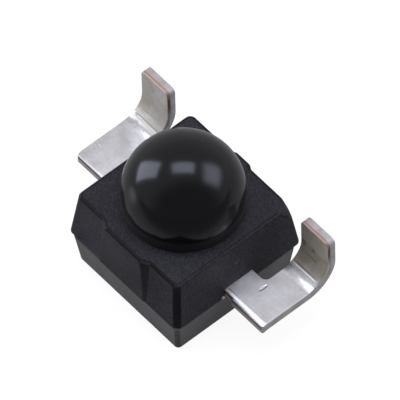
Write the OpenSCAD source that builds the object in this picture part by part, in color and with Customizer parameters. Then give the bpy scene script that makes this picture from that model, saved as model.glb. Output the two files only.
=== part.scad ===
// Side-looking surface-mount photodiode: a one-piece moulded body with a dome lens, two bent leads
// that come out at the parting line, and the chip, its adhesive and its bond wire sealed inside.
// Millimetres. The lens looks along +Z, the leads leave along X, and their solder flanges stand on
// the +Y side. The origin is on the underside of the body, below the centre of the lens.

/* [Moulded body] */
// Length of the body along X, at the parting line
body_l = 2.36; // [2.1:0.01:2.8]
// Width of the body along Y, at the parting line
body_w = 2.34; // [2.1:0.01:2.8]
// Height of the upper half, from the parting line to the top face
upper_h = 0.86; // [0.7:0.01:1.1]
// Height of the lower half, from the underside to the parting line
lower_h = 0.57; // [0.4:0.01:0.8]
// How far the lower half is set back from the upper half on the -X side
step_x = 0.1; // [0:0.01:0.15]
// How far the lower half is set back from the upper half on the +Y side
step_y = 0.11; // [0:0.01:0.15]
// Draft of the moulded walls, degrees from upright
draft = 6.5; // [3:0.5:7]
// Radius of the upper half's upright corners, at the parting line
upper_corner_r = 0.16; // [0.15:0.01:0.3]
// Radius of the lower half's upright corners, at the parting line
lower_corner_r = 0.12; // [0.1:0.01:0.3]
// Chamfer that stands for the soft top edge
edge_break = 0.03; // [0.01:0.01:0.04]

/* [Bosses on the long walls] */
// Length of the front boss along the wall
front_boss_l = 1.02; // [0.6:0.02:1.4]
// Length of the rear boss along the wall
rear_boss_l = 0.44; // [0.36:0.02:1.2]
// How far the front boss stands out from the wall, at the top edge
front_boss_out = 0.075; // [0.04:0.005:0.12]
// How far the rear boss stands out from the wall, at the top edge
rear_boss_out = 0.045; // [0.03:0.005:0.07]
// How far both bosses stand out from the wall, at the parting line
boss_foot_out = 0.02; // [0.01:0.005:0.03]
// Slope of the bosses' ends, degrees from square to the wall
boss_end_angle = 62; // [30:1:65]

/* [Lens] */
// Radius of the dome lens
lens_r = 0.905; // [0.7:0.005:0.95]
// Height of the straight rim under the dome
lens_rim_h = 0.215; // [0.05:0.005:0.4]

/* [Leads] */
// Thickness of the lead sheet
sheet_t = 0.15; // [0.1:0.01:0.2]
// Gap between the body's side and the broad part of a lead
plate_gap = 0.255; // [0.2:0.005:0.4]
// Width of the broad part of a lead, along X
plate_l = 0.575; // [0.4:0.005:0.65]
// Place of the broad part's front edge, along Y
plate_front_y = -0.29; // [-0.4:0.01:-0.27]
// Width of the neck that passes through the body wall
neck_w = 0.53; // [0.3:0.01:0.54]
// Radius of the inner corner between the neck and the broad part
neck_fillet = 0.09; // [0.04:0.01:0.14]
// How far the solder face of the flange lies behind the body's rear edge, along Y
pad_setback = 0.08; // [-0.1:0.01:0.1]
// Height of the flange's top edge above the underside of the lead
flange_h = 0.99; // [0.8:0.01:1.3]
// Inner radius of the bend
bend_r = 0.37; // [0.15:0.01:0.4]
// Radius of the flange's top corners
flange_corner_r = 0.06; // [0.02:0.01:0.1]

/* [Lead ends inside the body] */
// Side of the square die pad on the cathode lead
die_pad = 0.9; // [0.75:0.01:1.1]
// Distance from the die pad to the bond pad of the anode lead
pad_gap = 0.17; // [0.1:0.01:0.25]
// Length of the bond pad along X
bond_pad_l = 0.3; // [0.25:0.01:0.35]
// Width of the bond pad along Y
bond_pad_w = 0.8; // [0.55:0.01:1]

/* [Chip] */
// Side of the square photodiode chip
chip_side = 0.62; // [0.4:0.01:0.8]
// Thickness of the chip
chip_t = 0.22; // [0.15:0.01:0.3]
// Thickness of the die-attach adhesive
glue_t = 0.02; // [0.01:0.005:0.03]
// How far the adhesive comes out around the chip
glue_margin = 0.02; // [0:0.005:0.03]

/* [Bond wire] */
// Diameter of the gold wire
wire_d = 0.025; // [0.02:0.001:0.04]
// Diameter of the ball bond and of the stitch bond
bond_d = 0.075; // [0.06:0.005:0.1]
// Height of the ball bond and of the stitch bond
bond_h = 0.02; // [0.01:0.005:0.03]
// Distance from the ball bond's centre to the edge of the chip
bond_inset = 0.1; // [0.06:0.01:0.15]
// Upright run of wire above the ball bond
wire_rise = 0.09; // [0.05:0.01:0.15]
// Radius of the wire's bends
wire_bend_r = 0.06; // [0.04:0.01:0.1]

/* [Hidden] */
$fn = 96;

top_z = lower_h + upper_h;
crease_z = top_z - edge_break;
dome_z = top_z + lens_rim_h;
boss_root = 0.1;

lead_top_z = lower_h + sheet_t;
plate_x = body_l / 2 + plate_gap;
tip_x = plate_x + plate_l;
pad_y = body_w / 2 - pad_setback;
flange_y = pad_y - sheet_t;
bend_y = flange_y - bend_r;
bend_z = lead_top_z + bend_r;
flange_top_z = lower_h + flange_h;

bond_pad_x = -die_pad / 2 - pad_gap;
chip_z = lead_top_z + glue_t;
chip_top_z = chip_z + chip_t;

// The wire's crest bends about [crest_x, crest_z] and its foot about [stitch_x, foot_z]. The long
// run between them slopes as the line that touches the top of one bend and the bottom of the other.
ball_x = bond_inset - chip_side / 2;
crest_x = ball_x - wire_bend_r;
crest_z = chip_top_z + wire_rise;
stitch_x = bond_pad_x - bond_pad_l / 2;
foot_z = lead_top_z + bond_h + wire_bend_r;
wire_slope = atan2(crest_z - foot_z, crest_x - stitch_x)
    + asin(2 * wire_bend_r / norm([crest_x - stitch_x, crest_z - foot_z]));

// The wire's centre line in the plane y = 0, as [x, z, heading in degrees above +X]: up from the
// ball, over the crest, down the long run and level again at the stitch
wire_sides = 8;
wire_bend_steps = 7;
wire_foot_steps = 3;
wire_path = concat(
    [[ball_x, chip_top_z + bond_h / 2, 90]],
    [for (i = [0:wire_bend_steps]) let (a = (90 + wire_slope) * i / wire_bend_steps)
        [crest_x + wire_bend_r * cos(a), crest_z + wire_bend_r * sin(a), 90 + a]],
    [for (i = [0:wire_foot_steps]) let (a = 270 + wire_slope * (1 - i / wire_foot_steps))
        [stitch_x + wire_bend_r * cos(a), foot_z + wire_bend_r * sin(a), a - 90]]);

// Block with drafted walls and round upright corners, widest at its lower face
module drafted_block(l, w, h, r, angle) {
    lean = h * tan(angle);
    for (x = [r - l / 2, l / 2 - r], y = [r - w / 2, w / 2 - r])
        translate([x, y, 0]) cylinder(h = h, r1 = r, r2 = r - lean);
    rotate([90, 0, 0])
        linear_extrude(w - 2 * r, center = true)
            polygon([[-l / 2, 0], [l / 2, 0], [l / 2 - lean, h], [lean - l / 2, h]]);
    rotate([90, 0, 90])
        linear_extrude(l - 2 * r, center = true)
            polygon([[-w / 2, 0], [w / 2, 0], [w / 2 - lean, h], [lean - w / 2, h]]);
}

module upper_half() {
    straight_h = upper_h - edge_break;
    lean = straight_h * tan(draft);
    translate([0, 0, lower_h])
        drafted_block(body_l, body_w, straight_h, upper_corner_r, draft);
    translate([0, 0, lower_h + straight_h])
        drafted_block(body_l - 2 * lean, body_w - 2 * lean, edge_break, upper_corner_r - lean, 45);
}

module lower_half() {
    translate([step_x / 2, -step_y / 2, lower_h])
        mirror([0, 0, 1])
            drafted_block(body_l - step_x, body_w - step_y, lower_h, lower_corner_r, draft);
}

// Outline of a boss on the +Y wall at the height z: it stands out from the wall and is rooted in it
function boss_outline(length, out, z) =
    let (wall = body_w / 2 - (z - lower_h) * tan(draft), run = tan(boss_end_angle))
        [for (corner = [[-1, -boss_root], [1, -boss_root], [1, out], [-1, out]])
            [corner[0] * (length / 2 - corner[1] * run), wall + corner[1], z]];

// Boss on the +Y wall, from the parting line to the top edge
module boss(length, out) {
    polyhedron(
        points = concat(boss_outline(length, boss_foot_out, lower_h), boss_outline(length, out, crease_z)),
        faces = [[0, 1, 2, 3], [7, 6, 5, 4], [0, 4, 5, 1], [1, 5, 6, 2], [2, 6, 7, 3], [3, 7, 4, 0]]);
}

module lens() {
    translate([0, 0, dome_z]) sphere(lens_r);
    translate([0, 0, lower_h]) cylinder(h = dome_z - lower_h, r = lens_r);
}

module package() {
    color([0.13, 0.13, 0.145])
        difference() {
            union() {
                upper_half();
                lower_half();
                mirror([0, 1, 0]) boss(front_boss_l, front_boss_out);
                boss(rear_boss_l, rear_boss_out);
                lens();
            }
            cathode_lead_shape();
            anode_lead_shape();
            chip_shape();
            glue_shape();
            wire_shape();
        }
}

// Broad part, bend and flange of the lead on the +X side
module bent_plate() {
    intersection() {
        translate([plate_x, 0, 0])
            rotate([90, 0, 90])
                linear_extrude(plate_l) {
                    translate([plate_front_y, lower_h]) square([bend_y - plate_front_y, sheet_t]);
                    translate([flange_y, bend_z]) square([sheet_t, flange_top_z - bend_z]);
                    intersection() {
                        translate([bend_y, bend_z]) difference() {
                            circle(bend_r + sheet_t);
                            circle(bend_r);
                        }
                        translate([bend_y, lower_h]) square([bend_r + sheet_t, bend_r + sheet_t]);
                    }
                }
        translate([0, pad_y, 0])
            rotate([90, 0, 0])
                linear_extrude(pad_y - plate_front_y) {
                    translate([plate_x, lower_h]) square([plate_l, flange_h - flange_corner_r]);
                    translate([plate_x + flange_corner_r, lower_h])
                        square([plate_l - 2 * flange_corner_r, flange_h]);
                    for (x = [plate_x + flange_corner_r, tip_x - flange_corner_r])
                        translate([x, flange_top_z - flange_corner_r]) circle(flange_corner_r);
                }
    }
}

// Neck from inner_x out to the broad part, with the fillet on its +Y side
module neck(inner_x) {
    translate([0, 0, lower_h])
        linear_extrude(sheet_t) {
            translate([inner_x, -neck_w / 2]) square([plate_x - inner_x, neck_w]);
            difference() {
                translate([plate_x - neck_fillet, neck_w / 2]) square(neck_fillet);
                translate([plate_x - neck_fillet, neck_w / 2 + neck_fillet]) circle(neck_fillet);
            }
        }
}

module cathode_lead_shape() {
    bent_plate();
    neck(die_pad / 2);
    translate([-die_pad / 2, -die_pad / 2, lower_h]) cube([die_pad, die_pad, sheet_t]);
}

module anode_lead_shape() {
    mirror([1, 0, 0]) {
        bent_plate();
        neck(-bond_pad_x + bond_pad_l);
    }
    translate([bond_pad_x - bond_pad_l, -bond_pad_w / 2, lower_h]) cube([bond_pad_l, bond_pad_w, sheet_t]);
}

module cathode_lead() {
    color([0.78, 0.78, 0.79]) cathode_lead_shape();
}

module anode_lead() {
    color([0.78, 0.78, 0.79]) anode_lead_shape();
}

module chip_shape() {
    translate([-chip_side / 2, -chip_side / 2, chip_z]) cube([chip_side, chip_side, chip_t]);
}

module photodiode_chip() {
    color([0.2, 0.22, 0.35]) chip_shape();
}

module glue_shape() {
    side = chip_side + 2 * glue_margin;
    translate([-side / 2, -side / 2, lead_top_z]) cube([side, side, glue_t]);
}

module die_attach() {
    color([0.62, 0.6, 0.56]) glue_shape();
}

// One ring of points around the wire at [x, z], square to its heading
function wire_ring(at) = [for (j = [0:wire_sides - 1])
    let (a = 360 * j / wire_sides, r = wire_d / 2)
        [at[0] - r * cos(a) * sin(at[2]), r * sin(a), at[1] + r * cos(a) * cos(at[2])]];

module wire_shape() {
    rings = len(wire_path);
    polyhedron(
        points = [for (at = wire_path) each wire_ring(at)],
        faces = concat(
            [[for (j = [1:wire_sides]) wire_sides - j]],
            [for (k = [0:rings - 2], j = [0:wire_sides - 1])
                let (a = k * wire_sides, next = (j + 1) % wire_sides)
                    [a + j, a + next, a + wire_sides + next, a + wire_sides + j]],
            [[for (j = [0:wire_sides - 1]) (rings - 1) * wire_sides + j]]));
    translate([ball_x, 0, chip_top_z]) cylinder(h = bond_h, d = bond_d);
    translate([stitch_x, 0, lead_top_z]) cylinder(h = bond_h, d = bond_d);
}

module bond_wire() {
    color([0.85, 0.65, 0.25]) wire_shape();
}

package();
cathode_lead();
anode_lead();
photodiode_chip();
die_attach();
bond_wire();
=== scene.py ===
"""Dresses the photodiode: its moulded body with the dome lens, its two tinned leads and its sealed inside.

Shapes are modelled in millimetres and put into metres as the last step of each piece.
"""
import math
from types import SimpleNamespace

import bmesh
import bpy
from mathutils import Matrix, Vector


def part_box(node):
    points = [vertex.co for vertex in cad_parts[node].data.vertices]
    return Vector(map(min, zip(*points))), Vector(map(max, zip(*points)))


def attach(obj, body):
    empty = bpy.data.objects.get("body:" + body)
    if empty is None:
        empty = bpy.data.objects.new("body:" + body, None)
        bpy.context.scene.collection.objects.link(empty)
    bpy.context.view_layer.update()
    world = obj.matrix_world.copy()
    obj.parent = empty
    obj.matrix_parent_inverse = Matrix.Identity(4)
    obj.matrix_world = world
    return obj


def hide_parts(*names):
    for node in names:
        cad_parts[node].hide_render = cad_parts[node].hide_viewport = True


bl_info = {
    "name": "Photodiode",
    "version": (1, 0, 0),
    "blender": (4, 5, 0),
    "location": "3D View > Sidebar > Photodiode",
    "description": "Builds the moulded body, the tinned leads and the studio of a surface-mount photodiode",
    "category": "Object",
}

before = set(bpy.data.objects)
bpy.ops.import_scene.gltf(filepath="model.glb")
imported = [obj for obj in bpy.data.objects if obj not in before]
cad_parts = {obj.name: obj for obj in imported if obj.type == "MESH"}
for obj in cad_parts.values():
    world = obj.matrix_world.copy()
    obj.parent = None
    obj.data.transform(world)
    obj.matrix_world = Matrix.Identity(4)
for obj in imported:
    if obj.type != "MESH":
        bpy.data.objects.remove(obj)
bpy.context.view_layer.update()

MM = 0.001
TINY = 1e-5
SHARP_ANGLE = math.radians(32)
CAMERA_SIDE = math.radians(55)
LAMP_TINT = (0.93, 0.96, 1.13)

# Cosines between a face's normal and an axis: above FLAT the face lies square to the axis, above FACING
# it looks that way, and below UPRIGHT on Z it is a wall
FLAT = 0.999
FACING = 0.9
UPRIGHT = 0.5

package_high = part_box("package")[1] / MM
lead_low, lead_high = (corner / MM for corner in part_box("cathode_lead"))


def length(name, description, millimetres):
    return bpy.props.FloatProperty(name=name, description=description, default=millimetres * MM,
                                   unit="LENGTH", precision=5)


def angle(name, description, degrees):
    return bpy.props.FloatProperty(name=name, description=description, default=math.radians(degrees),
                                   subtype="ANGLE")


def colour(name, description, red, green, blue):
    return bpy.props.FloatVectorProperty(name=name, description=description, size=3, min=0, max=1,
                                         default=(red, green, blue), subtype="COLOR")


class BodySizes(bpy.types.PropertyGroup):
    parting_z: length("Parting height", "Height of the parting line above the underside", lead_low.z)
    top_z: length("Top face height", "Height of the flat top around the lens", 1.43)
    half_length: length(
        "Half length", "Half of the upper half's length along X, at the parting line", package_high.x)
    half_width: length("Half width", "Half of the upper half's width along Y, at the parting line", 1.17)
    step_left: length("Left step", "How far the lower half is set back on the -X side", 0.1)
    step_rear: length("Rear step", "How far the lower half is set back on the +Y side", 0.11)
    ledge: length("Ledge", "How far the lower half stands proud on the -Y and +X sides", 0.01)
    draft: angle("Draft", "Lean of the moulded walls from upright", 6.5)
    upper_corner: length("Upper corner radius", "Radius of the upper half's upright corners", 0.1)
    blunt_corner: length("Blunt corner radius", "Radius of the blunt +X+Y corner at the top face", 0.27)
    blunt_depth: length("Blunt corner depth", "How far below the top face the blunt corner reaches", 0.35)
    lower_corner: length("Lower corner radius", "Radius of the lower half's upright corners", 0.07)
    top_edge: length("Top edge radius", "Rounding of the edge around the top face", 0.045)
    foot_edge: length("Foot edge radius", "Rounding of the edge around the underside", 0.03)
    front_boss: length("Front boss half length", "Half of the front boss's length along the wall", 0.51)
    rear_boss: length("Rear boss half length", "Half of the rear boss's length along the wall", 0.22)
    front_out: length("Front boss height", "How far the front boss stands out at the top edge", 0.075)
    rear_out: length("Rear boss height", "How far the rear boss stands out at the top edge", 0.045)
    foot_out: length("Boss height below", "How far both bosses stand out at the parting line", 0.02)
    boss_end: angle("Boss end slope", "Slope of the bosses' ends, from square to the wall", 62)
    boss_edge: length("Boss edge radius", "Rounding of a boss's upright edges", 0.02)
    lens_radius: length("Lens radius", "Radius of the dome lens", 0.905)


class LeadSizes(bpy.types.PropertyGroup):
    sheet: length("Sheet thickness", "Thickness of the lead sheet", 0.15)
    front_y: length("Plate front", "Place of the broad part's front edge along Y", -0.29)
    plate_x: length("Plate start", "Distance of the broad part's inner edge from the middle", 1.435)
    front_x: length("Front step", "Distance of the step in the front edge from the middle", 1.345)
    anode_rise: length("Anode rise", "How much higher the anode's flange ends", 0.05)
    neck_width: length("Neck width", "Width of the neck that passes through the body wall", 0.53)
    neck_fillet: length("Neck fillet", "Radius of the inner corner between neck and plate", 0.09)
    bend_radius: length("Bend radius", "Inner radius of the bend", 0.37)
    flange_corner: length("Flange corner radius", "Radius of the flange's top corners", 0.08)
    plate_corner: length("Plate corner radius", "Radius of the plate's front corners", 0.035)
    die_roll: length("Die roll", "Rounding that the punch leaves along the upper edges", 0.03)
    lip_width: length("Lip width", "Width of the coined lip along the plate's front edge", 0.1)
    lip_drop: length("Lip drop", "How far the coined lip falls away at the front edge", 0.022)
    burr_side: length("Lower edge radius", "Rounding of the lower edges", 0.01)


class StudioSizes(bpy.types.PropertyGroup):
    azimuth: angle("Camera azimuth", "Angle of the camera round the part", 50.487)
    elevation: angle("Camera elevation", "Angle of the camera above the floor", 54.68)
    roll: angle("Camera roll", "Turn of the camera about its own axis", 1.704)
    distance: length("Camera distance", "Distance of the camera from the part", 218.5)
    view_width: length("View width", "Width of what the camera sees at the part", 5.6565)
    aim_right: length("Aim right", "How far the view's middle lies right of the reference point", 0.2233)
    aim_up: length("Aim up", "How far the view's middle lies above the reference point", 0.2510)


class Colours(bpy.types.PropertyGroup):
    epoxy: colour("Epoxy", "Black moulding compound in the hollows of its texture", 0.018, 0.0172, 0.022)
    epoxy_peaks: colour("Epoxy peaks", "The compound on the peaks of its texture", 0.0455, 0.0432, 0.0555)
    # Painted light: the lower half is painted paler to stand in for the light it gets from the bright floor
    epoxy_below_floor_lit: colour("Lower half", "The paler compound of the lower half", 0.118, 0.112, 0.116)
    # Painted shade: the narrow rounded faces that face away from the lamps are painted darker
    epoxy_edge_shade: colour("Rubbed edges", "The compound where edges are rubbed smooth", 0.006, 0.0055, 0.006)
    # Painted highlight: a pale band along the parting line, where the lower half's ledge catches the light
    parting_highlight: colour("Flash", "The thin edge of flash along the parting line", 0.13, 0.125, 0.13)
    lens: colour("Lens", "The polished compound of the lens", 0.0012, 0.001, 0.0012)
    lens_tint: colour("Lens reflections", "The cool tint of the lens's reflections", 0.92, 0.94, 1.0)
    lens_rim: colour("Lens rim", "The duller straight rim below the lens", 0.015, 0.0145, 0.0145)
    dust: colour("Dust", "Dust on the compound", 0.16, 0.15, 0.13)
    # Painted glint: a white spot on the body beside the cathode lead's neck
    painted_glint: colour("Bead", "A bead of tin beside the cathode lead", 0.8, 0.8, 0.82)
    tin: colour("Tin", "Satin tin plating", 0.93, 0.92, 0.93)
    tin_shade: colour("Tin shade", "The duller patches of the plating", 0.86, 0.845, 0.84)
    sheared: colour("Sheared edge", "Sheared edge faces, thinly tinned", 0.62, 0.59, 0.57)
    copper: colour("Copper", "Bare copper along the flange's end", 0.60, 0.38, 0.32)
    oxide: colour("Copper oxide", "Darkened copper along the other sheared edges", 0.25, 0.145, 0.115)
    stain: colour("Stain", "Brown stains on the plating", 0.42, 0.335, 0.15)
    silicon: colour("Silicon", "Coated silicon", 0.13, 0.145, 0.26)
    silver: colour("Adhesive", "Silver-filled adhesive", 0.57, 0.55, 0.52)
    gold: colour("Gold", "Gold bond wire", 0.85, 0.62, 0.23)
    floor: colour("Floor", "Pale floor, as it lights the part", 0.7, 0.7, 0.7)
    floor_seen: colour("Floor as seen", "The share of the floor that takes shadows", 0.22, 0.22, 0.22)
    # Painted shade: the floor on the camera's side, darker as gloss shows it
    floor_front_shade: colour("Floor in front", "The floor in gloss on the camera's side", 0.1, 0.1, 0.1)
    room: colour("Room", "The room round the part", 0.43, 0.43, 0.44)
    room_front: colour("Room in front", "The room on the camera's side", 0.2, 0.2, 0.21)


def in_millimetres(group):
    """The sizes of a property group as plain values, lengths in millimetres and angles in radians."""
    sizes = {}
    for name, prop in group.bl_rna.properties.items():
        if prop.type == "FLOAT" and not prop.is_array:
            value = getattr(group, name)
            sizes[name] = value / MM if prop.unit == "LENGTH" else value
    return SimpleNamespace(**sizes)


def finish_mesh(bm, name, materials):
    """Turns a millimetre bmesh into a smooth-shaded object in metres at the origin."""
    bmesh.ops.recalc_face_normals(bm, faces=bm.faces[:])
    mesh = bpy.data.meshes.new(name)
    bm.to_mesh(mesh)
    bm.free()
    mesh.transform(Matrix.Scale(MM, 4))
    for material in materials:
        mesh.materials.append(material)
    mesh.shade_smooth()
    mesh.set_sharp_from_angle(angle=SHARP_ANGLE)
    piece = bpy.data.objects.new(name, mesh)
    bpy.context.scene.collection.objects.link(piece)
    weighted = piece.modifiers.new("Flat faces stay flat", "WEIGHTED_NORMAL")
    weighted.keep_sharp = True
    return piece


def scratch_object(bm, name):
    """A temporary object, in millimetres, for the boolean steps."""
    mesh = bpy.data.meshes.new(name)
    bm.to_mesh(mesh)
    bm.free()
    made = bpy.data.objects.new(name, mesh)
    bpy.context.scene.collection.objects.link(made)
    return made


def combine(base, others, operation):
    """Joins or cuts base with the others and returns the result as a bmesh. All of them are used up."""
    for other in others:
        step = base.modifiers.new(other.name, "BOOLEAN")
        step.object = other
        step.operation = operation
        step.solver = "EXACT"
    evaluated = base.evaluated_get(bpy.context.evaluated_depsgraph_get())
    bm = bmesh.new()
    bm.from_mesh(evaluated.to_mesh())
    evaluated.to_mesh_clear()
    for used in [base, *others]:
        mesh = used.data
        bpy.data.objects.remove(used)
        bpy.data.meshes.remove(mesh)
    return bm


# Moulded body


def spans_height(edge):
    return abs(edge.verts[0].co.z - edge.verts[1].co.z) > TINY


def drafted_block(low, high, lean, narrow_z, corner):
    """A box that leans in towards the height narrow_z, with round upright corners."""
    bm = bmesh.new()
    middle, size = (low + high) / 2, high - low
    bmesh.ops.create_cube(bm, size=1, matrix=Matrix.LocRotScale(middle, None, size))
    narrow = [v for v in bm.verts if abs(v.co.z - narrow_z) < TINY]
    shrink = Vector((1 - 2 * lean / size.x, 1 - 2 * lean / size.y, 1))
    bmesh.ops.scale(bm, vec=shrink, space=Matrix.Translation(-middle), verts=narrow)
    bmesh.ops.bevel(
        bm, geom=[e for e in bm.edges if spans_height(e)], offset=corner, offset_type="OFFSET",
        segments=10, profile=0.5, affect="EDGES", material=-1)
    return bm


def blunt(bm, size):
    """Widens the rounding of the +X+Y corner towards the top face."""
    outward = Vector((1, 1, 0)).normalized()
    levels = 6
    corner_facing = 0.72

    def corner_faces():
        return [f for f in bm.faces if f.normal.dot(outward) > corner_facing]

    for i in range(1, levels + 1):
        faces = corner_faces()
        edges = {e for f in faces for e in f.edges}
        verts = {v for f in faces for v in f.verts}
        bmesh.ops.bisect_plane(bm, geom=[*faces, *edges, *verts], dist=TINY, plane_no=(0, 0, 1),
                               plane_co=(0, 0, size.top_z - size.blunt_depth * i / levels))
        bm.normal_update()
    for vert in {v for f in corner_faces() for v in f.verts}:
        lean = (vert.co.z - size.parting_z) * math.tan(size.draft)
        sharp = Vector((size.half_length - lean, size.half_width - lean, vert.co.z))
        rise = max(0, 1 - (size.top_z - vert.co.z) / size.blunt_depth)
        growth = 1 + (size.blunt_corner / size.upper_corner - 1) * rise * rise
        vert.co = sharp + (vert.co - sharp) * growth
    bm.normal_update()


def add_boss(bm, size, side, half_length, top_out):
    """Raises a boss on the wall on that side of Y, with ends that run out along the wall."""
    for end in (-1, 1):
        wall = [f for f in bm.faces if f.normal.y * side > FACING]
        edges = {e for f in wall for e in f.edges}
        verts = {v for f in wall for v in f.verts}
        bmesh.ops.bisect_plane(bm, geom=[*wall, *edges, *verts], dist=TINY,
                               plane_co=(end * half_length, 0, 0), plane_no=(end, 0, 0))
    middle = [f for f in bm.faces
              if f.normal.y * side > FACING and abs(f.calc_center_median().x) < TINY]
    raised = bmesh.ops.extrude_discrete_faces(bm, faces=middle)["faces"][0]
    for vert in raised.verts:
        out = top_out if vert.co.z > size.top_z - TINY else size.foot_out
        vert.co.y += side * out
        vert.co.x -= math.copysign(out * math.tan(size.boss_end), vert.co.x)
    bm.normal_update()
    upright = [e for e in raised.edges if spans_height(e)]
    bmesh.ops.bevel(bm, geom=upright, offset=size.boss_edge, offset_type="OFFSET", segments=3,
                    profile=0.5, affect="EDGES", material=-1)
    bm.normal_update()


def merge_flat(bm, sign):
    """Dissolves the edges inside a flat top (sign 1) or underside (sign -1)."""
    flat = [e for e in bm.edges if len(e.link_faces) == 2
            and all(f.normal.z * sign > FLAT for f in e.link_faces)]
    bmesh.ops.dissolve_edges(bm, edges=flat, use_verts=False)


def round_rim(bm, z, radius, segments):
    """Rounds the edges around the flat face at the height z."""
    rim = [e for e in bm.edges
           if all(abs(v.co.z - z) < TINY for v in e.verts)
           and any(abs(f.normal.z) < FACING for f in e.link_faces)]
    bmesh.ops.bevel(bm, geom=rim, offset=radius, offset_type="OFFSET", segments=segments,
                    profile=0.5, affect="EDGES", material=-1, clamp_overlap=True)


def upper_half(size):
    height = size.top_z - size.parting_z
    low = Vector((-size.half_length, -size.half_width, size.parting_z))
    high = Vector((size.half_length, size.half_width, size.top_z))
    bm = drafted_block(low, high, height * math.tan(size.draft), size.top_z, size.upper_corner)
    bm.normal_update()
    blunt(bm, size)
    add_boss(bm, size, -1, size.front_boss, size.front_out)
    add_boss(bm, size, 1, size.rear_boss, size.rear_out)
    merge_flat(bm, 1)
    merge_flat(bm, -1)
    round_rim(bm, size.top_z, size.top_edge, segments=4)
    return bm


def lower_half(size):
    low = Vector((-size.half_length + size.step_left, -size.half_width - size.ledge, 0))
    high = Vector((size.half_length + size.ledge, size.half_width - size.step_rear, size.parting_z))
    bm = drafted_block(low, high, size.parting_z * math.tan(size.draft), 0, size.lower_corner)
    bm.normal_update()
    round_rim(bm, 0, size.foot_edge, segments=3)
    return bm


def dome_lens(size):
    """The polished dome with its straight rim, down to a little below the top face."""
    centre_z = package_high.z - size.lens_radius
    root_depth = 0.2
    bm = bmesh.new()
    bmesh.ops.create_uvsphere(bm, u_segments=192, v_segments=96, radius=size.lens_radius,
                              matrix=Matrix.Translation((0, 0, centre_z)))
    bmesh.ops.bisect_plane(bm, geom=bm.verts[:] + bm.edges[:] + bm.faces[:], dist=TINY,
                           plane_co=(0, 0, centre_z), plane_no=(0, 0, -1), clear_outer=True)
    rim = [e for e in bm.edges if e.is_boundary]
    drawn = bmesh.ops.extrude_edge_only(bm, edges=rim)["geom"]
    lowest = [v for v in drawn if isinstance(v, bmesh.types.BMVert)]
    for vert in lowest:
        vert.co.z = size.top_z - root_depth
    bmesh.ops.contextual_create(bm, geom=[e for e in bm.edges if e.is_boundary])
    for face in bm.faces:
        face.material_index = 1
    bmesh.ops.recalc_face_normals(bm, faces=bm.faces[:])
    return bm


def cavity_core(piece):
    """A millimetre copy of a piece, merged into one skin, to cut its room out of the body."""
    bm = bmesh.new()
    bm.from_mesh(piece.data)
    bmesh.ops.transform(bm, matrix=Matrix.Scale(1 / MM, 4), verts=bm.verts[:])
    bmesh.ops.remove_doubles(bm, verts=bm.verts[:], dist=TINY)
    bmesh.ops.recalc_face_normals(bm, faces=bm.faces[:])
    return scratch_object(bm, "core_" + piece.name)


def mark_rounded(bm):
    """Marks the narrow faces of edges and boss ends, which get painted shade and a smoother, duller finish.

    The upper edge on the +X side and all that faces -X face the lamps and are left out.
    """
    rounded = bm.faces.layers.float.new("rounded")
    wall_facing, turned, narrow_area = 0.985, 0.25, 0.09
    for face in bm.faces:
        wall = max(abs(part) for part in face.normal) > wall_facing
        narrow = face.calc_area() < narrow_area
        # Faces turned towards the lamps get no painted shade
        lamp_facing = face.normal.z > turned if face.normal.x > turned else face.normal.x < -turned
        face[rounded] = 1.0 if narrow and not wall and not lamp_facing and face.material_index == 0 else 0.0


# Leads


def lead_plan(size):
    """Where the bend starts and ends along the flat strip, and where the strip ends."""
    bend_z = size.parting_z + size.sheet + size.bend_radius
    start = lead_high.y - size.sheet - size.bend_radius
    end = start + math.pi / 2 * (size.bend_radius + size.sheet / 2)
    return SimpleNamespace(start=start, end=end, bend_z=bend_z, flat_end=end + lead_high.z - bend_z)


def rim_edges(bm, z):
    return [e for e in bm.edges
            if all(abs(v.co.z - z) < TINY for v in e.verts)
            and any(abs(f.normal.z) < UPRIGHT for f in e.link_faces)]


def flat_blank(size, plan, pad_near, pad_far, pad_half):
    """The stamped strip before it is bent: X runs outwards, Y along the plate to the flange's end."""
    tip_x = lead_high.x
    neck = size.neck_width / 2
    bm = bmesh.new()
    corners = [bm.verts.new((x, y, 0)) for x, y in [
        (pad_far, -pad_half), (pad_near, -pad_half), (pad_near, -neck), (size.front_x, -neck),
        (size.front_x, size.front_y), (tip_x, size.front_y), (tip_x, plan.flat_end),
        (size.plate_x, plan.flat_end), (size.plate_x, neck), (pad_near, neck), (pad_near, pad_half),
        (pad_far, pad_half)]]
    bm.faces.new(corners)
    front_outer, flange_outer, flange_inner, neck_corner = (corners[i] for i in (5, 6, 7, 8))
    for verts, radius in (([front_outer], size.plate_corner), ([neck_corner], size.neck_fillet),
                          ([flange_outer, flange_inner], size.flange_corner)):
        bmesh.ops.bevel(bm, geom=verts, offset=radius, offset_type="OFFSET", segments=8, profile=0.5,
                        affect="VERTICES", material=-1)
    drawn = bmesh.ops.extrude_face_region(bm, geom=bm.faces[:])["geom"]
    upper_side = [v for v in drawn if isinstance(v, bmesh.types.BMVert)]
    bmesh.ops.translate(bm, vec=(0, 0, size.sheet), verts=upper_side)
    bmesh.ops.recalc_face_normals(bm, faces=bm.faces[:])
    for z, radius, segments in ((size.sheet, size.die_roll, 4), (0, size.burr_side, 2)):
        bmesh.ops.bevel(bm, geom=rim_edges(bm, z), offset=radius, offset_type="OFFSET",
                        segments=segments, profile=0.5, affect="EDGES", material=-1, clamp_overlap=True)
        bm.normal_update()
    return bm


def cut_across(bm, places):
    """Cuts the strip square across at each place along Y."""
    for y in places:
        bmesh.ops.bisect_plane(bm, geom=bm.verts[:] + bm.edges[:] + bm.faces[:], dist=TINY,
                               plane_co=(0, y, 0), plane_no=(0, 1, 0))


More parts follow.
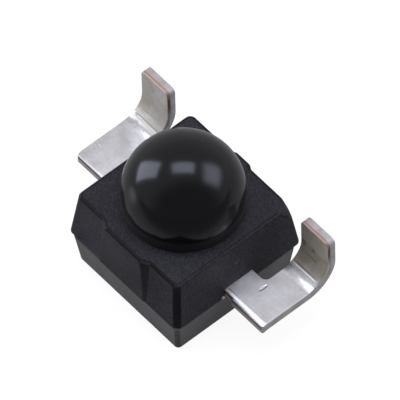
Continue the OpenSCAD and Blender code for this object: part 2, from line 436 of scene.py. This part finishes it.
def bend_strip(bm, size, plan):
    """Bends the flange up, and keeps each point's place on the flat strip in the attribute sheet."""
    sheet = bm.verts.layers.float_vector.new("sheet")
    middle_radius = size.bend_radius + size.sheet / 2
    for vert in bm.verts:
        x, along, up = vert.co
        vert[sheet] = vert.co
        drop = size.lip_drop * max(0, 1 - (along - size.front_y) / size.lip_width)
        bent = min(max((along - plan.start) / middle_radius, 0), math.pi / 2)
        radius = size.bend_radius + size.sheet - up
        vert.co.y = min(along, plan.start) + radius * math.sin(bent)
        vert.co.z = plan.bend_z - radius * math.cos(bent) + max(0, along - plan.end)
        if x > size.front_x - TINY:
            vert.co.z -= drop


def lead_mesh(size, pad_near, pad_far, pad_half, mirrored):
    plan = lead_plan(size)
    if mirrored:
        plan.flat_end += size.anode_rise
    bm = flat_blank(size, plan, pad_near, pad_far, pad_half)
    lip_cuts = [size.front_y + size.lip_width * share for share in (1, 0.7)]
    steps = 20
    bend_cuts = [plan.start + (plan.end - plan.start) * i / steps for i in range(steps + 1)]
    cut_across(bm, lip_cuts + bend_cuts)
    bend_strip(bm, size, plan)
    if mirrored:
        bmesh.ops.scale(bm, vec=(-1, 1, 1), verts=bm.verts[:])
    bmesh.ops.recalc_face_normals(bm, faces=bm.faces[:])
    return bm


# Materials


def put(tree, kind, inputs=None, **options):
    """Adds a node, sets its options, and sets or links its inputs."""
    made = tree.nodes.new(kind)
    for name, value in options.items():
        setattr(made, name, value)
    for name, value in (inputs or {}).items():
        if isinstance(value, bpy.types.NodeSocket):
            tree.links.new(value, made.inputs[name])
        else:
            made.inputs[name].default_value = value
    return made


def calculate(tree, operation, *values):
    made = put(tree, "ShaderNodeMath", operation=operation)
    for socket, value in zip(made.inputs, values):
        if isinstance(value, bpy.types.NodeSocket):
            tree.links.new(value, socket)
        else:
            socket.default_value = value
    return made.outputs[0]


def product(tree, first, *others):
    for other in others:
        first = calculate(tree, "MULTIPLY", first, other)
    return first


def strongest(tree, first, *others):
    for other in others:
        first = calculate(tree, "MAXIMUM", first, other)
    return first


def spread(tree, value, low, high, to_low=0.0, to_high=1.0):
    """Maps value from low..high smoothly to to_low..to_high."""
    made = put(tree, "ShaderNodeMapRange", {"Value": value, "From Min": low, "From Max": high,
                                            "To Min": to_low, "To Max": to_high},
               interpolation_type="SMOOTHSTEP")
    return made.outputs["Result"]


def band(tree, value, low, high, soft):
    """A mask of the values from low to high, with soft ends."""
    rise = spread(tree, value, low - soft, low)
    return product(tree, rise, spread(tree, value, high, high + soft, to_low=1.0, to_high=0.0))


def axes_of(tree, vector):
    made = put(tree, "ShaderNodeSeparateXYZ", {"Vector": vector})
    return made.outputs["X"], made.outputs["Y"], made.outputs["Z"]


def noise(tree, vector, scale, detail, roughness=0.5):
    made = put(tree, "ShaderNodeTexNoise", {"Vector": vector, "Scale": scale, "Detail": detail,
                                            "Roughness": roughness})
    return made.outputs["Fac"]


def blend_colours(tree, factor, first, second):
    made = put(tree, "ShaderNodeMix", data_type="RGBA")
    for name, value in ((0, factor), (6, first), (7, second)):
        if isinstance(value, bpy.types.NodeSocket):
            tree.links.new(value, made.inputs[name])
        else:
            made.inputs[name].default_value = (*value, 1) if isinstance(value, tuple) else value
    return made.outputs[2]


def new_group(name, inputs, outputs):
    tree = bpy.data.node_groups.new(name, "ShaderNodeTree")
    for socket_name, kind, default in inputs:
        socket = tree.interface.new_socket(socket_name, in_out="INPUT", socket_type=kind)
        if default is not None:
            socket.default_value = default
    for socket_name, kind in outputs:
        tree.interface.new_socket(socket_name, in_out="OUTPUT", socket_type=kind)
    return tree, tree.nodes.new("NodeGroupInput"), tree.nodes.new("NodeGroupOutput")


def grain_group():
    """Fine surface grain of a given size in millimetres, with a slow drift of tone over it."""
    tree, given, out = new_group(
        "Surface grain",
        [("Vector", "NodeSocketVector", None), ("Size", "NodeSocketFloat", 0.03),
         ("Drift", "NodeSocketFloat", 0.4)],
        [("Grain", "NodeSocketFloat"), ("Tone", "NodeSocketFloat")])
    vector = given.outputs["Vector"]
    fine_scale = calculate(tree, "DIVIDE", 1.0, given.outputs["Size"])
    slow_scale = calculate(tree, "DIVIDE", 1.0, given.outputs["Drift"])
    fine = noise(tree, vector, fine_scale, detail=3.0, roughness=0.6)
    slow = noise(tree, vector, slow_scale, detail=2.0)
    tree.links.new(fine, out.inputs["Grain"])
    tree.links.new(slow, out.inputs["Tone"])
    return tree


def speck_group():
    """Sparse specks of dust, about Spacing apart and Size across, in millimetres."""
    tree, given, out = new_group(
        "Dust specks",
        [("Vector", "NodeSocketVector", None), ("Spacing", "NodeSocketFloat", 0.3),
         ("Size", "NodeSocketFloat", 0.05)],
        [("Mask", "NodeSocketFloat")])
    scale = calculate(tree, "DIVIDE", 1.0, given.outputs["Spacing"])
    cells = put(tree, "ShaderNodeTexVoronoi", {"Vector": given.outputs["Vector"], "Scale": scale})
    reach = calculate(tree, "DIVIDE", given.outputs["Size"], given.outputs["Spacing"])
    lone = put(tree, "ShaderNodeSeparateColor", {"Color": cells.outputs["Color"]})
    near = calculate(tree, "LESS_THAN", cells.outputs["Distance"], reach)
    empty_share = 0.7
    few = calculate(tree, "GREATER_THAN", lone.outputs["Red"], empty_share)
    tree.links.new(product(tree, near, few), out.inputs["Mask"])
    return tree


def tin_group():
    """Satin tin on a stamped copper strip, told apart by the place on the strip before it was bent."""
    tree, given, out = new_group(
        "Stamped tin",
        [("Vector", "NodeSocketVector", None), ("Strip", "NodeSocketVector", None),
         ("Tin", "NodeSocketColor", None), ("Shade", "NodeSocketColor", None),
         ("Sheared", "NodeSocketColor", None), ("Copper", "NodeSocketColor", None),
         ("Oxide", "NodeSocketColor", None)],
        [("Colour", "NodeSocketColor"), ("Roughness", "NodeSocketFloat"), ("Height", "NodeSocketFloat")])
    grain = place(tree, "Surface grain", {"Vector": given.outputs["Vector"], "Size": 0.06, "Drift": 0.25})
    across, along, up = axes_of(tree, given.outputs["Strip"])
    edge_face = band(tree, up, 0.01, 0.118, soft=0.006)
    outer_face = product(tree, spread(tree, across, 1.985, 2.0),
                         spread(tree, along, 1.15, 1.3, to_low=1.0, to_high=0.0))
    patches = noise(tree, given.outputs["Vector"], 7.0, detail=2.0)
    bend_middle = 0.75
    from_bend = calculate(tree, "ABSOLUTE", calculate(tree, "SUBTRACT", along, bend_middle))
    bare = product(tree, band(tree, up, 0.102, 0.138, soft=0.006), spread(tree, patches, 0.26, 0.38),
                   calculate(tree, "SUBTRACT", 1.0, outer_face),
                   spread(tree, from_bend, 0.5, 0.75, to_low=0.3, to_high=1.0))
    flange_end = spread(tree, along, 1.6, 1.7)
    bare_colour = blend_colours(tree, flange_end, given.outputs["Oxide"], given.outputs["Copper"])
    tone = blend_colours(tree, spread(tree, grain.outputs["Tone"], 0.35, 0.65), given.outputs["Shade"],
                         given.outputs["Tin"])
    etched = spread(tree, grain.outputs["Grain"], 0.35, 0.65, to_low=0.22, to_high=0.0)
    tone = blend_colours(tree, etched, tone, given.outputs["Sheared"])
    worn = product(tree, edge_face, spread(tree, patches, 0.35, 0.65, to_low=0.55, to_high=1.0))
    tone = blend_colours(tree, worn, tone, given.outputs["Sheared"])
    tone = blend_colours(tree, bare, tone, bare_colour)
    bend_start = band(tree, along, 0.65, 0.73, soft=0.05)
    coined_lip = spread(tree, along, -0.22, -0.17, to_low=0.35, to_high=0.0)
    tool_line = band(tree, along, 0.81, 0.85, soft=0.02)
    burnished = product(tree, strongest(tree, bend_start, coined_lip, tool_line), 0.17)
    sheared_dullness = product(tree, edge_face, 0.15)
    flange_dullness = spread(tree, along, 0.74, 0.84, to_low=0.0, to_high=0.14)
    satin = spread(tree, grain.outputs["Tone"], 0.3, 0.7, to_low=0.37, to_high=0.43)
    roughness = calculate(tree, "SUBTRACT", satin, burnished)
    roughness = calculate(tree, "ADD", roughness, sheared_dullness)
    roughness = calculate(tree, "ADD", roughness, flange_dullness)
    tree.links.new(tone, out.inputs["Colour"])
    tree.links.new(roughness, out.inputs["Roughness"])
    tree.links.new(grain.outputs["Tone"], out.inputs["Height"])
    return tree


GROUP_BUILDERS = {"Surface grain": grain_group, "Dust specks": speck_group, "Stamped tin": tin_group}


def place(tree, name, inputs):
    """Places a shared node group, which is built the first time it is asked for."""
    made = tree.nodes.new("ShaderNodeGroup")
    made.node_tree = bpy.data.node_groups.get(name) or GROUP_BUILDERS[name]()
    for socket, value in inputs.items():
        if isinstance(value, bpy.types.NodeSocket):
            tree.links.new(value, made.inputs[socket])
        else:
            made.inputs[socket].default_value = value
    return made


def new_material(name):
    """An empty material with its object coordinates in millimetres and its Principled shader."""
    material = bpy.data.materials.new(name)
    material.use_nodes = True
    tree = material.node_tree
    tree.nodes.clear()
    metres = tree.nodes.new("ShaderNodeTexCoord").outputs["Object"]
    where = put(tree, "ShaderNodeVectorMath", {0: metres, "Scale": 1 / MM}, operation="SCALE")
    shader = tree.nodes.new("ShaderNodeBsdfPrincipled")
    output = tree.nodes.new("ShaderNodeOutputMaterial")
    tree.links.new(shader.outputs[0], output.inputs["Surface"])
    return material, tree, where.outputs["Vector"], shader


def give(tree, shader, **inputs):
    for name, value in inputs.items():
        socket = shader.inputs[name.replace("_", " ")]
        if isinstance(value, bpy.types.NodeSocket):
            tree.links.new(value, socket)
        else:
            socket.default_value = value


def bumped(tree, height, distance, normal=None):
    """Surface normals for a height map whose full range is distance millimetres."""
    inputs = {"Height": height, "Distance": distance * MM, "Strength": 1.0}
    if normal is not None:
        inputs["Normal"] = normal
    return put(tree, "ShaderNodeBump", inputs).outputs["Normal"]


def spot(tree, where, centre, reach, turn=0.0):
    """A soft oval mask around centre that fades out at reach along each axis."""
    local = put(tree, "ShaderNodeMapping", {"Vector": where, "Location": centre, "Scale": reach,
                                            "Rotation": (0, 0, turn)}, vector_type="TEXTURE")
    away = put(tree, "ShaderNodeVectorMath", {0: local.outputs["Vector"]}, operation="LENGTH")
    return spread(tree, away.outputs["Value"], 0.45, 1.0, to_low=1.0, to_high=0.0)


def moulded_epoxy(colours):
    """Black epoxy with the fine spark texture of the mould, smoother below the parting line and painted
    paler there as painted light from the bright floor. Rounded edges get painted shade, and the parting
    line a painted highlight.
    """
    material, tree, where, shader = new_material("Moulded epoxy")
    height = axes_of(tree, where)[2]
    rounded = put(tree, "ShaderNodeAttribute", attribute_name="rounded").outputs["Fac"]
    grain = place(tree, "Surface grain", {"Vector": where, "Size": 0.03, "Drift": 0.5})
    dust = place(tree, "Dust specks", {"Vector": where, "Spacing": 0.5, "Size": 0.02})
    shade = blend_colours(tree, spread(tree, grain.outputs["Grain"], 0.35, 0.7), tuple(colours.epoxy),
                          tuple(colours.epoxy_peaks))
    # Painted light: the lower half is painted paler for the light from the bright floor; it is also
    # smoother and glossier
    below = spread(tree, height, lead_low.z - 0.01, lead_low.z, to_low=0.8, to_high=0.0)
    shade = blend_colours(tree, below, shade, tuple(colours.epoxy_below_floor_lit))
    # Painted shade on the narrow rounded faces that face away from the lamps
    painted_edge_shade = product(tree, rounded, 0.85)
    shade = blend_colours(tree, painted_edge_shade, shade, tuple(colours.epoxy_edge_shade))
    # Painted highlight: a pale band along the parting line, where the ledge catches the light
    parting_highlight = product(tree, band(tree, height, lead_low.z - 0.006, lead_low.z + 0.006, soft=0.004), 0.6)
    shade = blend_colours(tree, parting_highlight, shade, tuple(colours.parting_highlight))
    speck = spot(tree, where, (1.12, 0, 1.083), (0.02, 0.02, 0.02))
    dusty = strongest(tree, product(tree, dust.outputs["Mask"], 0.35), speck)
    shade = blend_colours(tree, dusty, shade, tuple(colours.dust))
    # A painted glint: a white spot beside the cathode lead's neck
    painted_glint = spot(tree, where, (1.18, -0.3, 0.578), (0.045, 0.035, 0.035))
    shade = blend_colours(tree, painted_glint, shade, tuple(colours.painted_glint))
    smoother_below, glossier_below, smoother_rounded, duller_rounded = -0.25, 0.25, -0.15, -0.12
    rough = spread(tree, grain.outputs["Tone"], 0.3, 0.7, to_low=0.52, to_high=0.62)
    rough = calculate(tree, "MULTIPLY_ADD", below, smoother_below, rough)
    level = calculate(tree, "MULTIPLY_ADD", below, glossier_below, 0.3)
    give(tree, shader, Base_Color=shade, IOR=1.5,
         Specular_IOR_Level=calculate(tree, "MULTIPLY_ADD", rounded, duller_rounded, level),
         Roughness=calculate(tree, "MULTIPLY_ADD", rounded, smoother_rounded, rough),
         Normal=bumped(tree, grain.outputs["Grain"], 0.008))
    return material


def polished_lens(colours):
    """The same epoxy, polished on the dome, and less so on the straight rim below it."""
    material, tree, where, shader = new_material("Polished lens epoxy")
    height = axes_of(tree, where)[2]
    grain = place(tree, "Surface grain", {"Vector": where, "Size": 0.12, "Drift": 0.7})
    dust = place(tree, "Dust specks", {"Vector": where, "Spacing": 0.6, "Size": 0.015})
    rim = spread(tree, height, 1.6, 1.66, to_low=1.0, to_high=0.0)
    shade = blend_colours(tree, rim, tuple(colours.lens), tuple(colours.lens_rim))
    shade = blend_colours(tree, product(tree, dust.outputs["Mask"], 0.3), shade, tuple(colours.dust))
    haze = spread(tree, grain.outputs["Tone"], 0.3, 0.7, to_low=0.14, to_high=0.19)
    give(tree, shader, Base_Color=shade, IOR=1.52,
         Roughness=calculate(tree, "MULTIPLY_ADD", rim, 0.2, haze),
         Normal=bumped(tree, grain.outputs["Grain"], 0.0006), Sheen_Weight=0.06, Sheen_Roughness=0.35,
         Specular_Tint=(*colours.lens_tint, 1))
    return material


def tinned_copper(colours, name, marks):
    """Satin tin over copper with the marks that the photograph shows on one lead."""
    material, tree, where, shader = new_material(name)
    strip = put(tree, "ShaderNodeAttribute", attribute_name="sheet").outputs["Vector"]
    tin = place(tree, "Stamped tin", {
        "Vector": where, "Strip": strip, "Tin": (*colours.tin, 1), "Shade": (*colours.tin_shade, 1),
        "Sheared": (*colours.sheared, 1), "Copper": (*colours.copper, 1), "Oxide": (*colours.oxide, 1)})
    relief, stained, dark = marks(tree, strip, where)
    relief = calculate(tree, "ADD", relief, bend_crease(tree, strip))
    # For the cathode, the stain mask also carries a painted reflection of the body wall
    tone = blend_colours(tree, stained, tin.outputs["Colour"], tuple(colours.stain))
    tone = blend_colours(tree, dark, tone, tuple(colours.oxide))
    mottled = bumped(tree, tin.outputs["Height"], 0.0015)
    metallic = calculate(tree, "MULTIPLY_ADD", stained, -0.6, 1.0)
    give(tree, shader, Base_Color=tone, Metallic=metallic, Roughness=tin.outputs["Roughness"],
         Normal=bumped(tree, relief, 0.02, mottled))
    return material


def upper_spot(tree, strip, across, along, reach_across, reach_along, turn=0.0):
    """A soft oval on the strip's upper face, at that place across and along the strip."""
    sheet_top, depth = 0.15, 0.1
    return spot(tree, strip, (across, along, sheet_top), (reach_across, reach_along, depth), turn)


def cathode_marks(tree, strip, where):
    """A crescent dent on the plate, stains in the bend and on the flange's inner face, and a painted
    reflection of the body wall at the bend's inner end, put in as stain.
    """
    dent = upper_spot(tree, strip, 1.505, 0.165, 0.03, 0.085)
    relief = product(tree, dent, -0.3)
    blotch = upper_spot(tree, strip, 1.49, 1.295, 0.08, 0.1)
    small_blotch = upper_spot(tree, strip, 1.7, 1.275, 0.05, 0.06)
    crease = upper_spot(tree, strip, 1.68, 1.1, 0.16, 0.03)
    # Painted reflection of the nearby body wall, brown at the bend's inner end
    body_reflection = upper_spot(tree, strip, 1.43, 0.85, 0.07, 0.2)
    cloud = noise(tree, where, 6.0, detail=3.0)
    film = product(tree, spread(tree, cloud, 0.35, 0.7, to_low=0.35, to_high=0.65),
                   upper_face(tree, strip, 0.85))
    # The stain mask here carries real stains and the painted reflection of the body wall
    stained = strongest(tree, film, product(tree, body_reflection, 0.6))
    dark = strongest(tree, product(tree, blotch, 0.5), product(tree, small_blotch, 0.6),
                     product(tree, crease, 0.4))
    return relief, stained, dark


def anode_marks(tree, strip, where):
    """Wrinkles and a streak at the start of the bend, and scratches near the plate's front."""
    ripple = noise(tree, where, 14.0, detail=2.0)
    wrinkled = upper_spot(tree, strip, 1.93, 0.7, 0.12, 0.1)
    relief = product(tree, ripple, wrinkled, 0.15)
    streak = upper_spot(tree, strip, 1.78, 0.965, 0.12, 0.025)
    relief = calculate(tree, "ADD", relief, product(tree, streak, -0.15))
    for across, along, turn in ((1.93, 0.012, 0.46), (1.905, 0.058, 0.25)):
        scratch = upper_spot(tree, strip, across, along, 0.075, 0.012, turn)
        relief = calculate(tree, "ADD", relief, product(tree, scratch, 0.08))
    cloud = noise(tree, where, 5.0, detail=2.0)
    film = product(tree, spread(tree, cloud, 0.4, 0.7, to_low=0.25, to_high=0.45),
                   upper_face(tree, strip, 0.9))
    stained = strongest(tree, film, bend_film(tree, strip))
    return relief, stained, 0.0


def bend_film(tree, strip):
    """The dull film where the bending tool pressed on the bend."""
    _, along, up = axes_of(tree, strip)
    pressed = band(tree, along, 0.82, 0.88, soft=0.1)
    return product(tree, pressed, spread(tree, up, 0.13, 0.145, to_low=0.0, to_high=0.3))


def bend_crease(tree, strip):
    """The thin groove that the bending tool left across the bend."""
    across, along, _ = axes_of(tree, strip)
    groove = band(tree, along, 0.825, 0.835, soft=0.03)
    length_across = band(tree, across, 1.5, 1.9, soft=0.08)
    return product(tree, groove, length_across, -0.3)


def upper_face(tree, strip, start):
    """A mask of the strip's upper face, from start along the strip onwards."""
    _, along, up = axes_of(tree, strip)
    return product(tree, spread(tree, up, 0.135, 0.148), spread(tree, along, start - 0.1, start + 0.1))


def polished_silicon(colours):
    material, tree, where, shader = new_material("Coated silicon")
    grain = place(tree, "Surface grain", {"Vector": where, "Size": 0.05, "Drift": 0.4})
    tone = blend_colours(tree, spread(tree, grain.outputs["Tone"], 0.3, 0.7, to_low=0.0, to_high=0.3),
                         tuple(colours.silicon), tuple(colours.epoxy))
    give(tree, shader, Base_Color=tone, Metallic=0.6,
         Roughness=spread(tree, grain.outputs["Grain"], 0.3, 0.7, to_low=0.12, to_high=0.2))
    return material


def silver_adhesive(colours):
    material, tree, where, shader = new_material("Silver adhesive")
    grain = place(tree, "Surface grain", {"Vector": where, "Size": 0.02, "Drift": 0.2})
    tone = blend_colours(tree, spread(tree, grain.outputs["Grain"], 0.3, 0.7, to_low=0.0, to_high=0.5),
                         tuple(colours.silver), tuple(colours.stain))
    give(tree, shader, Base_Color=tone, Metallic=0.3,
         Roughness=spread(tree, grain.outputs["Tone"], 0.3, 0.7, to_low=0.5, to_high=0.7),
         Normal=bumped(tree, grain.outputs["Grain"], 0.003))
    return material


def drawn_gold(colours):
    material, tree, where, shader = new_material("Drawn gold")
    grain = place(tree, "Surface grain", {"Vector": where, "Size": 0.02, "Drift": 0.1})
    tone = blend_colours(tree, spread(tree, grain.outputs["Tone"], 0.3, 0.7, to_low=0.0, to_high=0.2),
                         tuple(colours.gold), tuple(colours.copper))
    give(tree, shader, Base_Color=tone, Metallic=1.0,
         Roughness=spread(tree, grain.outputs["Grain"], 0.3, 0.7, to_low=0.2, to_high=0.3))
    return material


SEALED_FINISHES = {"photodiode_chip": polished_silicon, "die_attach": silver_adhesive,
                   "bond_wire": drawn_gold}


def pale_floor(colours):
    """A floor that is white to the camera and still takes the part's shadow. Gloss shows it grey, with
    painted shade on the camera's side and a painted glow, the gleam, on the left."""
    material, tree, where, shader = new_material("Pale floor")
    path = tree.nodes.new("ShaderNodeLightPath")
    mirrored = strongest(tree, path.outputs["Is Glossy Ray"], path.outputs["Is Transmission Ray"])
    seen = strongest(tree, path.outputs["Is Camera Ray"], mirrored)
    # A painted glow on the floor to the left, which only gloss shows
    gleam = spot(tree, where, (-9.7, -10.1, 0), (11, 2.6, 1), turn=math.radians(-134))
    side = put(tree, "ShaderNodeVectorMath", {0: where, 1: direction(CAMERA_SIDE, 0)},
               operation="DOT_PRODUCT")
    # Painted shade on the camera's side of the floor, which only gloss shows
    dark_side = product(tree, mirrored, spread(tree, side.outputs["Value"], 1.8, 4.5))
    mirrored_lift = product(tree, mirrored, calculate(tree, "MULTIPLY_ADD", gleam, 0.7, 0.2),
                            calculate(tree, "MULTIPLY_ADD", dark_side, -0.5, 1.0))
    camera_lift = product(tree, path.outputs["Is Camera Ray"], 0.9)
    lift = calculate(tree, "ADD", camera_lift, mirrored_lift)
    shade = blend_colours(tree, seen, tuple(colours.floor), tuple(colours.floor_seen))
    shade = blend_colours(tree, dark_side, shade, tuple(colours.floor_front_shade))
    give(tree, shader, Base_Color=shade, Roughness=1.0, Specular_IOR_Level=0.0,
         Emission_Color=(1, 1, 1, 1), Emission_Strength=lift)
    return material


# Studio


def direction(azimuth, elevation):
    """The way towards a place at that azimuth, 0 in front on the -Y side, and elevation."""
    flat = math.cos(elevation)
    return Vector((math.sin(azimuth) * flat, -math.cos(azimuth) * flat, math.sin(elevation)))


def softbox(name, azimuth, elevation, width, height, radiance, turn=0.0, soft=0.12):
    """A rectangular lamp with soft edges, in degrees and metres, that looks at the part."""
    reach = 0.4
    lamp = bpy.data.lights.new(name, "AREA")
    lamp.shape = "RECTANGLE"
    lamp.size, lamp.size_y = width, height
    lamp.energy = radiance * width * height * math.pi
    lamp.color = LAMP_TINT
    lamp.use_nodes = True
    tree = lamp.node_tree
    place_on_lamp = tree.nodes.new("ShaderNodeNewGeometry").outputs["Parametric"]
    across, up, _ = axes_of(tree, place_on_lamp)
    fade = product(tree, band(tree, across, soft, 1 - soft, soft), band(tree, up, soft, 1 - soft, soft))
    tree.links.new(fade, tree.nodes["Emission"].inputs["Strength"])
    made = bpy.data.objects.new(name, lamp)
    away = direction(math.radians(azimuth), math.radians(elevation))
    level = Vector((math.cos(math.radians(azimuth)), math.sin(math.radians(azimuth)), 0))
    facing = Matrix((level, away.cross(level), away)).transposed()
    facing = facing @ Matrix.Rotation(math.radians(turn), 3, "Z")
    made.matrix_world = Matrix.Translation(away * reach) @ facing.to_4x4()
    made.visible_camera = False
    bpy.context.scene.collection.objects.link(made)


def make_camera(size):
    back = direction(size.azimuth, size.elevation)
    level_right = Vector((math.cos(size.azimuth), math.sin(size.azimuth), 0))
    level_up = back.cross(level_right)
    right = math.cos(size.roll) * level_right - math.sin(size.roll) * level_up
    up = math.sin(size.roll) * level_right + math.cos(size.roll) * level_up
    reference = Vector((0, 0, 1))
    target = reference + size.aim_right * right + size.aim_up * up
    data = bpy.data.cameras.new("Camera")
    data.sensor_width = 36
    data.lens = data.sensor_width * size.distance / size.view_width
    data.clip_start = 0.01
    data.clip_end = 10
    camera = bpy.data.objects.new("Camera", data)
    turned = Matrix((right, up, back)).transposed().to_4x4()
    camera.matrix_world = Matrix.Translation((target + back * size.distance) * MM) @ turned
    bpy.context.scene.collection.objects.link(camera)
    bpy.context.scene.camera = camera


def make_floor(colours):
    bm = bmesh.new()
    bmesh.ops.create_circle(bm, cap_ends=True, segments=64, radius=1.5)
    mesh = bpy.data.meshes.new("floor")
    bm.to_mesh(mesh)
    bm.free()
    mesh.materials.append(pale_floor(colours))
    floor = bpy.data.objects.new("floor", mesh)
    bpy.context.scene.collection.objects.link(floor)


def make_world(colours):
    """A grey room that is darker on the side of the camera."""
    world = bpy.data.worlds.new("Studio")
    world.use_nodes = True
    tree = world.node_tree
    view = tree.nodes.new("ShaderNodeTexCoord").outputs["Generated"]
    dark_side = direction(CAMERA_SIDE, math.radians(10))
    turned = put(tree, "ShaderNodeVectorMath", {0: view, 1: dark_side}, operation="DOT_PRODUCT")
    shade = blend_colours(tree, spread(tree, turned.outputs["Value"], 0.25, 0.7),
                          tuple(colours.room), tuple(colours.room_front))
    tree.links.new(shade, tree.nodes["Background"].inputs["Color"])
    bpy.context.scene.world = world


# Operators


class PHOTODIODE_OT_leads(bpy.types.Operator):
    """Makes the two tinned leads"""
    bl_idname = "photodiode.make_leads"
    bl_label = "Make leads"

    def execute(self, context):
        size = in_millimetres(context.scene.photodiode_lead)
        size.parting_z = lead_low.z
        colours = context.scene.photodiode_colours
        metals = {"cathode_lead": tinned_copper(colours, "Tinned cathode lead", cathode_marks),
                  "anode_lead": tinned_copper(colours, "Tinned anode lead", anode_marks)}
        bond_pad = 0.3
        for node, mirrored in (("cathode_lead", False), ("anode_lead", True)):
            low, high = (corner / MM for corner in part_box(node))
            pad_half = -low.y
            if mirrored:
                pad_far, pad_near = -high.x, -high.x + bond_pad
            else:
                pad_far, pad_near = low.x, -low.x
            bm = lead_mesh(size, pad_near, pad_far, pad_half, mirrored)
            piece = finish_mesh(bm, "tinned_" + node, [metals[node]])
            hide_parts(node)
            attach(piece, "root")
        return {"FINISHED"}


class PHOTODIODE_OT_body(bpy.types.Operator):
    """Makes the moulded body with its lens, and leaves room in it for all that is sealed inside"""
    bl_idname = "photodiode.make_body"
    bl_label = "Make moulded body"

    def execute(self, context):
        size = in_millimetres(context.scene.photodiode_body)
        whole = scratch_object(upper_half(size), "upper_half")
        parts = [scratch_object(lower_half(size), "lower_half"), scratch_object(dome_lens(size), "dome")]
        joined = scratch_object(combine(whole, parts, "UNION"), "joined")
        enclosed = [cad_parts[node] for node in SEALED_FINISHES]
        enclosed += [bpy.data.objects["tinned_" + node] for node in ("cathode_lead", "anode_lead")]
        bm = combine(joined, [cavity_core(piece) for piece in enclosed], "DIFFERENCE")
        mark_rounded(bm)
        colours = context.scene.photodiode_colours
        piece = finish_mesh(bm, "moulded_body", [moulded_epoxy(colours), polished_lens(colours)])
        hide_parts("package")
        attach(piece, "root")
        return {"FINISHED"}


class PHOTODIODE_OT_inside(bpy.types.Operator):
    """Gives the sealed chip, adhesive and wire their materials"""
    bl_idname = "photodiode.dress_inside"
    bl_label = "Dress sealed inside"

    def execute(self, context):
        colours = context.scene.photodiode_colours
        for node, finish in SEALED_FINISHES.items():
            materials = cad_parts[node].data.materials
            materials.clear()
            materials.append(finish(colours))
        return {"FINISHED"}


class PHOTODIODE_OT_studio(bpy.types.Operator):
    """Makes the floor, the lamps, the world and the camera"""
    bl_idname = "photodiode.make_studio"
    bl_label = "Make studio"

    def execute(self, context):
        make_floor(context.scene.photodiode_colours)
        make_world(context.scene.photodiode_colours)
        softbox("Left softbox", azimuth=-62, elevation=26, width=0.21, height=0.36, radiance=2.9,
                turn=-10)
        softbox("Top softbox", azimuth=-136.2, elevation=81.5, width=0.3, height=0.16, radiance=2.6,
                turn=6.6)
        softbox("Right softbox", azimuth=147, elevation=38, width=0.36, height=0.34, radiance=1.9,
                soft=0.35)
        make_camera(in_millimetres(context.scene.photodiode_studio))
        context.scene.view_settings.view_transform = "Standard"
        return {"FINISHED"}


class PHOTODIODE_PT_panel(bpy.types.Panel):
    bl_label = "Photodiode"
    bl_space_type = "VIEW_3D"
    bl_region_type = "UI"
    bl_category = "Photodiode"

    def draw(self, context):
        for group in SETTINGS:
            box = self.layout.box()
            settings = getattr(context.scene, group)
            for name, prop in settings.bl_rna.properties.items():
                if prop.type == "FLOAT":
                    box.prop(settings, name)
        for operator in OPERATORS:
            self.layout.operator(operator.bl_idname)


OPERATORS = (PHOTODIODE_OT_leads, PHOTODIODE_OT_body, PHOTODIODE_OT_inside, PHOTODIODE_OT_studio)
SETTINGS = {"photodiode_body": BodySizes, "photodiode_lead": LeadSizes,
            "photodiode_studio": StudioSizes, "photodiode_colours": Colours}
CLASSES = (*SETTINGS.values(), *OPERATORS, PHOTODIODE_PT_panel)


def register():
    for item in CLASSES:
        bpy.utils.register_class(item)
    for name, group in SETTINGS.items():
        setattr(bpy.types.Scene, name, bpy.props.PointerProperty(type=group))


def unregister():
    for name in SETTINGS:
        delattr(bpy.types.Scene, name)
    for item in reversed(CLASSES):
        bpy.utils.unregister_class(item)


def main():
    register()
    bpy.ops.photodiode.make_leads()
    bpy.ops.photodiode.make_body()
    bpy.ops.photodiode.dress_inside()
    bpy.ops.photodiode.make_studio()


if __name__ == "__main__":
    main()
